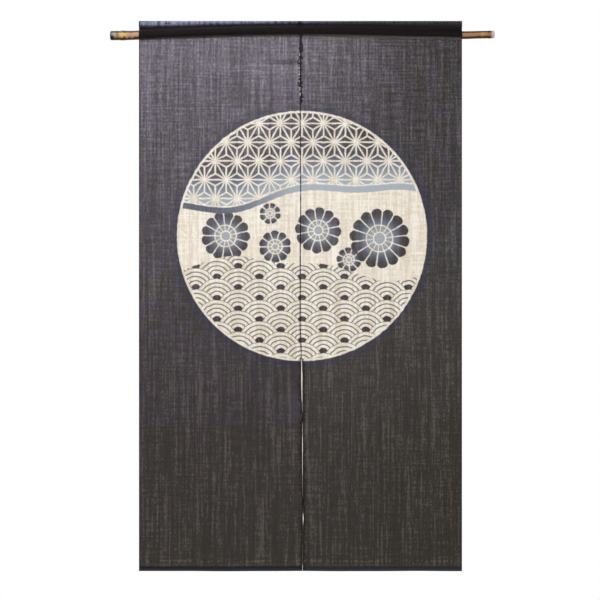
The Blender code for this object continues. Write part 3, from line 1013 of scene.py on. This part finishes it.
@dataclass(frozen=True)
class ClothLength:
    """One length of hemp: a heading and rod channel, the hanging body, and a hem turned up behind."""

    side: Side
    rod: BambooRod = BambooRod()
    left_edge: float = -0.4395
    right_edge: float = 0.4410
    top: float = 0.0290
    bottom: float = 1.4710
    thickness: float = 0.0010
    layer_gap: float = 0.0004
    channel_slack: float = 0.0010
    channel_sag: float = 0.0004
    seam_below_ring: float = 0.0008
    seam_above_ring: float = 0.0022
    turned_end: float = 0.0040
    ring_low: float = math.radians(-62)
    ring_high: float = math.radians(66)
    fold_radius: float = 0.0040
    fold_growth: float = 0.80
    body_start: float = 0.045
    hem_height: float = 0.0130
    broad_wave: float = 0.0040
    broad_length: float = 0.34
    fine_wave: float = 0.0016
    fine_length: float = 0.15
    edge_curl_reach: float = 0.070
    columns: int = 104
    row_step: float = 0.0045
    ring_steps: int = 14
    rise_steps: int = 7
    fold_steps: int = 5
    hem_turn_steps: int = 6
    hem_rows: int = 5
    pattern_reach: float = 1.13

    @property
    def setoff(self) -> float:
        """Half the distance between the centres of two touching layers."""
        return (self.thickness + self.layer_gap) / 2

    @property
    def outer_edge(self) -> float:
        """Place of the length's outer edge."""
        return self.left_edge if self.side is Side.LEFT else self.right_edge

    def across(self, share: np.ndarray, drop: np.ndarray) -> np.ndarray:
        """Place across the length, from its outer edge at share 0 to its inner edge at share 1."""
        centre, opening, _ = slit_at(drop)
        inner = centre + self.side.value * opening / 2
        return self.outer_edge + (inner - self.outer_edge) * share

    def wave_depth(self, x: np.ndarray, drop: np.ndarray) -> np.ndarray:
        """Depth of the long waves: two sines across the cloth that grow towards the hem."""
        share = np.maximum(0.0, (drop - self.body_start) / (self.bottom - self.body_start))
        broad = np.sin(2 * np.pi * x / self.broad_length + 1.1 + 0.9 * share)
        fine = np.sin(2 * np.pi * x / self.fine_length + 2.5 - 1.6 * share)
        grown = smooth(np.minimum(1.0, share + 0.15)) * np.sqrt(share)
        return grown * (self.broad_wave * broad + self.fine_wave * fine)

    def body_depth(self, x: np.ndarray, drop: np.ndarray) -> np.ndarray:
        """Depth of the front layer below the channel, with the left inner edge lifted forward."""
        depth = self.wave_depth(x, drop) - self.setoff
        if self.side is Side.LEFT:
            centre, _, forward = slit_at(drop)
            away = np.minimum(1.0, np.maximum(0.0, centre - x) / self.edge_curl_reach)
            depth = depth - forward * (1 - away) ** 2
        return depth

    def channel(self, x: np.ndarray) -> tuple[np.ndarray, np.ndarray, np.ndarray, np.ndarray]:
        """Centre and radius of the channel's round part, and the heights of the seams that close it."""
        centre = self.rod.axis(x) - self.channel_sag
        ring = self.rod.plain_radius(x) + self.channel_slack + self.thickness / 2
        return centre, ring, centre - ring - self.seam_below_ring, centre + ring + self.seam_above_ring

    def heading_half(self, x: np.ndarray) -> tuple[np.ndarray, np.ndarray]:
        """Back half of the heading and channel, from the turned end to the top.

        Round the rod it is an arc a little wider and lower than the rod. A seam closes it just
        below and just above the rod, and above the upper seam it swells into a soft top fold, a
        quarter circle whose radius grows towards the rod's ends.

        Args:
            x: Place of each column.

        Returns:
            Depth and height, a row for each step and a column for each x.
        """
        centre, ring, low, high = self.channel(x)
        top = self.top - self.thickness / 2
        thinner = self.rod.middle_radius - self.rod.plain_radius(x) - self.rod.axis(x)
        fold = self.fold_radius + self.fold_growth * thinner
        beside = np.full_like(x, self.setoff)
        arc = steps(self.ring_low, self.ring_high, self.ring_steps)
        rise = steps(0, 1, self.rise_steps)[:-1]
        turn = steps(0, np.pi / 2, self.fold_steps)
        depth = [beside[None], beside[None], ring * np.cos(arc)]
        height = [(low - self.turned_end)[None], low[None], centre + ring * np.sin(arc)]
        depth += [beside + (fold - beside) * smooth(rise), fold * np.cos(turn)]
        height += [high + (top - fold - high) * rise, top - fold + fold * np.sin(turn)]
        return np.concatenate(depth), np.concatenate(height)

    def surface(self) -> tuple[np.ndarray, np.ndarray]:
        """Works out the cloth's middle surface.

        Each column runs up the back of the heading, over the top, down the front, down the body
        with its waves, and round the hem.

        Returns:
            The points, row by row, and the same rows' (across, down) cloth coordinates.
        """
        share = np.linspace(0, 1, self.columns + 1)
        back_depth, back_height = self.heading_half(self.across(share, np.zeros_like(share)))
        depth = np.concatenate([back_depth, -back_depth[-2:0:-1]])
        height = np.concatenate([back_height, back_height[-2:0:-1]])
        heading = np.stack([self.across(share, -height), depth, height], axis=-1)
        hem_start = self.bottom - self.hem_height
        rows = round((hem_start - self.body_start) / self.row_step)
        drop = np.broadcast_to(steps(self.body_start, hem_start, rows), (rows + 1, len(share)))
        x = self.across(share, drop)
        body = np.stack([x, self.body_depth(x, drop), -drop], axis=-1)
        points = np.concatenate([heading, body, self.hem(share)])
        lengths = np.linalg.norm(np.diff(points, axis=0), axis=-1)
        walked = np.concatenate([np.zeros((1, len(share))), np.cumsum(lengths, axis=0)])
        down = self.body_start + walked - walked[len(heading)]
        return points, np.stack([points[..., 0], down], axis=-1)

    def hem(self, share: np.ndarray) -> np.ndarray:
        """The hem: a half circle round the bottom fold, then the turned-up layer behind."""
        centre = self.bottom - self.thickness / 2 - self.setoff
        hem_start = self.bottom - self.hem_height
        down = steps(hem_start, centre, self.hem_rows)[1:]
        turn = steps(0, np.pi, self.hem_turn_steps)[1:]
        up = steps(centre, hem_start, self.hem_rows)[1:]
        offset = np.concatenate([down * 0, self.setoff * (1 - np.cos(turn)), up * 0 + 2 * self.setoff])
        drop = np.concatenate([down, centre + self.setoff * np.sin(turn), up])
        drop = np.broadcast_to(drop, (len(drop), len(share)))
        x = self.across(share, drop)
        return np.stack([x, self.body_depth(x, drop) + offset, -drop], axis=-1)

    def build(self) -> bpy.types.Object:
        """Builds the length as a thin closed shell and dresses it."""
        side = self.side.name.lower()
        name = f"hemp_{side}"
        points, labels = self.surface()
        labels = labels.reshape(-1, 2)
        turned = np.zeros(points.shape[:2])
        turned[:2] = 1.0
        finish = HempFinish(self.side)
        materials = [finish.build(f"{name}_dyed", False), finish.build(f"{name}_patterned", True)]
        faces = grid_faces(len(points), points.shape[1])
        piece = make_piece(name, points, faces.tolist(), materials)
        write_map(piece, labels)
        self.mark_pattern(piece, labels, faces)
        self.mark(piece, INNER_EDGE, np.abs(points[..., 0] - points[:, -1:, 0]))
        self.mark(piece, OUTER_EDGE, np.abs(points[..., 0] - points[:, :1, 0]))
        self.mark(piece, TURNED_END, turned)
        solid = piece.modifiers.new("cloth thickness", "SOLIDIFY")
        solid.thickness = self.thickness
        solid.offset = 0
        solid.use_even_offset = True
        solid.use_rim = True
        finish_piece(piece, [f"panel_{side}"])
        return piece

    def mark_pattern(self, piece: bpy.types.Object, labels: np.ndarray, faces: np.ndarray) -> None:
        """Gives the faces near the medallion the patterned material."""
        disc = Medallion()
        middles = labels[faces].mean(axis=1)
        away = np.hypot(middles[:, 0] - disc.centre_x, middles[:, 1] - disc.centre_drop)
        chosen = (away < disc.radius * self.pattern_reach).astype(np.int32)
        piece.data.polygons.foreach_set("material_index", chosen)

    def mark(self, piece: bpy.types.Object, name: str, values: np.ndarray) -> None:
        """Stores one value for each point, for the cloth's material to read."""
        layer = piece.data.attributes.new(name, "FLOAT", "POINT")
        layer.data.foreach_set("value", values.astype(np.float32).ravel())


class StitchRun(NamedTuple):
    """Stitches that are laid together: their middles, the ways they point, and their lengths."""

    middles: np.ndarray
    headings: np.ndarray
    lengths: np.ndarray
    radius: float


Part = tuple[np.ndarray, Sequence[np.ndarray]]


def spokes(ahead: np.ndarray, sides: int) -> tuple[np.ndarray, np.ndarray]:
    """Spokes of a circle square to each of several directions.

    Args:
        ahead: The directions, one a row.
        sides: Spokes in a circle.

    Returns:
        The directions made one long, and the spokes of each.
    """
    ahead = ahead / np.linalg.norm(ahead, axis=1, keepdims=True)
    beside = np.cross(ahead, (0.0, -1.0, 0.0))
    beside /= np.linalg.norm(beside, axis=1, keepdims=True)
    above = np.cross(beside, ahead)
    angle = (np.arange(sides) / sides * 2 * np.pi)[:, None]
    return ahead, beside[:, None] * np.cos(angle) + above[:, None] * np.sin(angle)


def stitches(run: StitchRun, rings: int = 5, sides: int = 6) -> Part:
    """Works out a run of stitches.

    Each stitch is a grain: circles set along its heading, whose radius is the run's radius times
    the fourth root of one less the square of the place from -1 to 1, closed by a point at each tip.

    Args:
        run: The stitches.
        rings: Circles in each stitch.
        sides: Points in a circle.

    Returns:
        The points of all stitches, and their quads and triangles.
    """
    count = len(run.middles)
    ahead, out = spokes(run.headings, sides)
    place = np.linspace(-0.92, 0.92, rings)
    thick = run.radius * (1 - place**2) ** 0.25
    along = (place * 0.5)[None, :, None] * run.lengths[:, None, None] * ahead[:, None, :]
    circles = run.middles[:, None, None] + along[:, :, None] + thick[:, None, None] * out[:, None]
    tips = run.middles[:, None] + np.array([-0.5, 0.5])[:, None] * run.lengths[:, None, None] * ahead[:, None]
    points = np.concatenate([circles.reshape(count, -1, 3), tips], axis=1)
    turn = np.arange(sides)
    following = (turn + 1) % sides
    last = (rings - 1) * sides
    start_tip = np.full(sides, rings * sides)
    caps = np.concatenate([
        np.stack([start_tip, following, turn], axis=-1),
        np.stack([start_tip + 1, turn + last, following + last], axis=-1),
    ])
    shift = (np.arange(count) * points.shape[1])[:, None, None]
    quads = (grid_faces(rings, sides, wrap=True) + shift).reshape(-1, 4)
    return points.reshape(-1, 3), [quads, (caps + shift).reshape(-1, 3)]


def tube(path: np.ndarray, radius: np.ndarray, sides: int = 8) -> Part:
    """A tube: a circle round each point of a path, square to its run, and a flat face at both ends."""
    _, out = spokes(np.gradient(path, axis=0), sides)
    points = (path[:, None] + radius[:, None, None] * out).reshape(-1, 3)
    first = np.arange(sides)
    ends = np.stack([first[::-1], first + len(points) - sides])
    return points, [grid_faces(len(path), sides, wrap=True), ends]


def make_thread(name: str, parts: Sequence[Part], material: bpy.types.Material) -> bpy.types.Object:
    """Makes one piece of thread from several parts."""
    points, faces, used = [], [], 0
    for made, groups in parts:
        for group in groups:
            faces += (group + used).tolist()
        points.append(made)
        used += len(made)
    piece = make_piece(name, np.concatenate(points), faces, [material])
    outward(piece)
    finish_piece(piece)
    return piece


class Swing(NamedTuple):
    """A value that swings about its middle as a sine of the stitch's number."""

    middle: float = 0.0
    reach: float = 0.0
    rate: float = 0.0

    def at(self, number: np.ndarray) -> np.ndarray:
        """The value for each stitch."""
        return self.middle + self.reach * np.sin(self.rate * number)


class SeamThread(NamedTuple):
    """One kind of stitch down the seam, one under another, each leaning its own way.

    A stitch slips down from its even place and lies aside of the seam. It points across and up
    by two shares, and stands proud of the seam's face.
    """

    name: str
    finish: ThreadFinish
    top: float
    bottom: float
    pitch: float
    radius: float
    proud: float
    aside: Swing
    across: Swing
    up: Swing
    length: Swing
    slip: Swing = Swing()


SEAM_THREADS = (
    SeamThread(
        name="seam_stitches",
        finish=ThreadFinish("thread_dark", (0.010, 0.007, 0.010), (0.020, 0.014, 0.022)),
        top=-0.020,
        bottom=SEAM_END_DROP,
        pitch=0.0023,
        radius=0.00062,
        proud=0.0002,
        aside=Swing(0.0016, 0.0015, 2.3),
        across=Swing(1.0, 0.4, 5.1),
        up=Swing(1.4, 1.2, 3.7),
        length=Swing(0.0050, 0.0018, 7.9),
    ),
    SeamThread(
        name="seam_knots",
        finish=ThreadFinish("thread_pale", (0.78, 0.76, 0.78), (0.38, 0.36, 0.44)),
        top=0.062,
        bottom=0.178,
        pitch=0.0058,
        radius=0.00105,
        proud=0.0007,
        aside=Swing(-0.0004, 0.0016, 6.1),
        across=Swing(0.0, 0.5, 2.9),
        up=Swing(1.0),
        length=Swing(0.0032, 0.0022, 5.7),
        slip=Swing(0.0, 0.0030, 4.3),
    ),
    SeamThread(
        name="seam_tack",
        finish=ThreadFinish("thread_indigo", (0.030, 0.024, 0.085), (0.100, 0.088, 0.270)),
        top=0.008,
        bottom=0.040,
        pitch=0.0029,
        radius=0.00050,
        proud=0.0004,
        aside=Swing(-0.0014, 0.0038, 2.7),
        across=Swing(0.0, 0.8, 4.1),
        up=Swing(1.0),
        length=Swing(0.0042, 0.0014, 5.3),
    ),
)


@dataclass(frozen=True)
class Sewing:
    """The hand sewing: the seam between the lengths, the channel's and the hem's lines, the selvages."""

    left: ClothLength
    right: ClothLength
    running_pitch: float = 0.0062
    running_length: float = 0.0034
    running_radius: float = 0.00022
    hem_line_rise: float = 0.0016
    core_top: float = -0.0275
    core_step: float = 0.0030
    core_radius: float = 0.00060
    selvage_top: float = 0.020
    selvage_radius: float = 0.00048
    selvage_step: float = 0.0060
    loose_drop: float = 0.955
    loose_reach: float = 0.030
    loose_growth: float = 0.70
    edge_margin: float = 0.006

    def build(self) -> list[bpy.types.Object]:
        """Builds the pieces of sewing."""
        soft = ThreadFinish("thread_soft", (0.060, 0.052, 0.062), (0.085, 0.075, 0.090)).build()
        lengths = (self.left, self.right)
        lines = [run for length in lengths for run in self.channel_lines(length) + self.hem_lines(length)]
        pieces = [make_thread("running_stitches", [stitches(run) for run in lines], soft)]
        for thread in SEAM_THREADS:
            pieces.append(make_thread(thread.name, [stitches(self.seam_run(thread))], thread.finish.build()))
        edges = [self.selvage(length) for length in lengths] + [self.seam_core()]
        pieces.append(make_thread("selvages", edges, SelvageFinish().build()))
        return pieces

    def seam_core(self) -> Part:
        """The rolled edges inside the seam: a thin tube from the top fold to the seam's end."""
        drop = np.arange(self.core_top, SEAM_END_DROP, self.core_step)
        x, depth = self.seam_line(drop)
        x = x + 0.00025 * np.sin(310 * drop)
        radius = self.core_radius * (0.85 + 0.50 * np.sin(190 * drop) * np.sin(433 * drop))
        return tube(np.stack([x, depth + self.right.thickness / 2, -drop], axis=-1), radius)

    def selvage(self, length: ClothLength) -> Part:
        """The thick edge thread of a length's inner edge, from under the channel to the hem."""
        drop = np.arange(self.selvage_top, length.bottom - length.hem_height, self.selvage_step)
        centre, opening, _ = slit_at(drop)
        side = length.side.value
        x = centre + side * np.maximum(opening / 2 - 0.0001, self.selvage_radius * 0.7 - 0.0002)
        x = x + 0.00010 * np.sin(95 * drop + side)
        depth = length.body_depth(x, np.maximum(drop, length.body_start))
        radius = self.selvage_radius * (1 + 0.22 * np.sin(61 * drop) * np.sin(147 * drop + side))
        radius = radius * (1 + self.loose_growth * np.exp(-(((drop - self.loose_drop) / self.loose_reach) ** 2)))
        return tube(np.stack([x, depth, -drop], axis=-1), radius)

    def stations(self, length: ClothLength) -> np.ndarray:
        """Places of running stitches across a length, unevenly spaced by a slow sine."""
        low, high = sorted((length.outer_edge, 0.0))
        x = np.arange(low + self.edge_margin, high - self.edge_margin, self.running_pitch)
        return x + 0.0006 * np.sin(41 * np.arange(len(x)))

    def level_run(self, x: np.ndarray, depth: np.ndarray, height: np.ndarray) -> StitchRun:
        """Stitches that follow a line across the cloth, each a little askew."""
        number = np.arange(len(x))
        slope = np.gradient(height, x) + 0.10 * np.sin(17 * number)
        headings = np.stack([np.ones_like(x), np.gradient(depth, x), slope], axis=-1)
        lengths = self.running_length * (1 + 0.18 * np.sin(29 * number))
        return StitchRun(np.stack([x, depth, height], axis=-1), headings, lengths, self.running_radius)

    def channel_lines(self, length: ClothLength) -> list[StitchRun]:
        """The two lines that close the channel, on the front and, between those stitches, on the back."""
        x = self.stations(length)
        proud = length.setoff + length.thickness / 2
        runs = []
        for height in length.channel(x)[2:]:
            runs.append(self.level_run(x, np.full_like(x, -proud), height))
            runs.append(self.level_run(x + self.running_pitch / 2, np.full_like(x, proud), height))
        return runs

    def hem_lines(self, length: ClothLength) -> list[StitchRun]:
        """The line that holds the hem, on the front and on the turned-up layer behind."""
        x = self.stations(length)
        drop = np.full_like(x, length.bottom - length.hem_height + self.hem_line_rise)
        depth = length.body_depth(x, drop)
        front = self.level_run(x, depth - length.thickness / 2, -drop)
        behind = depth + 2 * length.setoff + length.thickness / 2
        return [front, self.level_run(x + self.running_pitch / 2, behind, -drop)]

    def seam_line(self, drop: np.ndarray) -> tuple[np.ndarray, np.ndarray]:
        """Place across and depth of the seam's face, down the heading's front and the cloth."""
        centre, _, _ = slit_at(drop)
        back_depth, back_height = self.right.heading_half(np.zeros(1))
        order = np.argsort(-back_height[1:, 0])
        heading = np.interp(drop, -back_height[1:, 0][order], -back_depth[1:, 0][order])
        body = self.right.body_depth(centre, np.maximum(drop, self.right.body_start))
        share = np.clip((drop - 0.014) / 0.004, 0, 1)
        return centre, heading + (body - heading) * share - self.right.thickness / 2

    def seam_run(self, thread: SeamThread) -> StitchRun:
        """Stitches of one kind down the seam."""
        drop = np.arange(thread.top, thread.bottom, thread.pitch)
        number = np.arange(len(drop))
        drop = drop + thread.slip.at(number)
        x, depth = self.seam_line(drop)
        middles = np.stack([x + thread.aside.at(number), depth - thread.proud, -drop], axis=-1)
        headings = np.stack([thread.across.at(number), np.zeros_like(drop), thread.up.at(number)], axis=-1)
        return StitchRun(middles, headings, thread.length.at(number), thread.radius)


@dataclass(frozen=True)
class Studio:
    """Camera, soft light, white surroundings and a pale floor."""

    picture_width: float = 1.6359
    centre_x: float = -0.0005
    centre_z: float = -0.7318
    lens: float = 200.0
    sensor: float = 36.0
    floor_z: float = -1.95
    floor_half: float = 4.0

    def build(self) -> None:
        """Sets up everything that isn't part of the object."""
        scene = bpy.context.scene
        scene.view_settings.view_transform = "Standard"
        self.camera(scene)
        self.surroundings(scene)
        self.floor()
        self.lamp("overhead", (-0.62, -0.10, 0.55), (-0.30, 0.0, 0.0), (0.9, 0.25), 9.0, (0.72, 0.76, 1.0))
        self.lamp("key", (-1.8, -3.2, 1.2), (0.0, 0.0, -0.6), (1.6, 1.6), 30.0, (1.0, 0.98, 0.95))

    def camera(self, scene: bpy.types.Scene) -> None:
        """A long lens square to the cloth, so far off that the picture has its width there."""
        data = bpy.data.cameras.new("camera")
        data.lens = self.lens
        data.sensor_width = self.sensor
        camera = bpy.data.objects.new("camera", data)
        away = self.picture_width * self.lens / self.sensor
        camera.location = (self.centre_x, -away, self.centre_z)
        camera.rotation_euler = (math.pi / 2, 0, 0)
        scene.collection.objects.link(camera)
        scene.camera = camera

    def surroundings(self, scene: bpy.types.Scene) -> None:
        """White all round, a little dimmer as light than as backdrop."""
        sky = Nodes(bpy.data.worlds.new("surroundings"))
        seen = sky.node("ShaderNodeLightPath", {}, {}, "Is Camera Ray")
        light = sky.node("ShaderNodeBackground", {}, {"Color": (0.97, 0.98, 1.0, 1.0), "Strength": 0.85})
        backdrop = sky.node("ShaderNodeBackground", {}, {"Color": (1.0, 1.0, 1.0, 1.0)})
        mix = sky.node("ShaderNodeMixShader", {}, {0: seen, 1: light, 2: backdrop})
        scene.world = sky.close(mix, "ShaderNodeOutputWorld")

    def floor(self) -> None:
        """A pale floor, well under the hem."""
        half = self.floor_half
        corners = np.array([(-half, -half), (half, -half), (half, half), (-half, half)])
        points = np.column_stack([corners, np.full(4, self.floor_z)])
        material = Nodes(bpy.data.materials.new("floor")).dress((0.9, 0.9, 0.9, 1.0), 0.9)
        make_piece("floor", points, [[0, 1, 2, 3]], [material])

    def lamp(self, name: str, place: Colour, target: Colour, size: tuple, power: float, colour: Colour) -> None:
        """A soft rectangular lamp that faces a point."""
        data = bpy.data.lights.new(name, "AREA")
        data.shape = "RECTANGLE"
        data.size, data.size_y = size
        data.energy = power
        data.color = colour
        lamp = bpy.data.objects.new(name, data)
        lamp.location = place
        heading = Vector(target) - Vector(place)
        lamp.rotation_euler = heading.to_track_quat("-Z", "Y").to_euler()
        bpy.context.scene.collection.objects.link(lamp)


def main() -> None:
    """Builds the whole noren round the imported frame."""
    logging.basicConfig(level=logging.INFO, format="%(message)s")
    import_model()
    Studio().build()
    rod = BambooRod().build()
    lengths = [ClothLength(side) for side in Side]
    cloths = [length.build() for length in lengths]
    sewing = Sewing(*lengths).build()


if __name__ == "__main__":
    main()
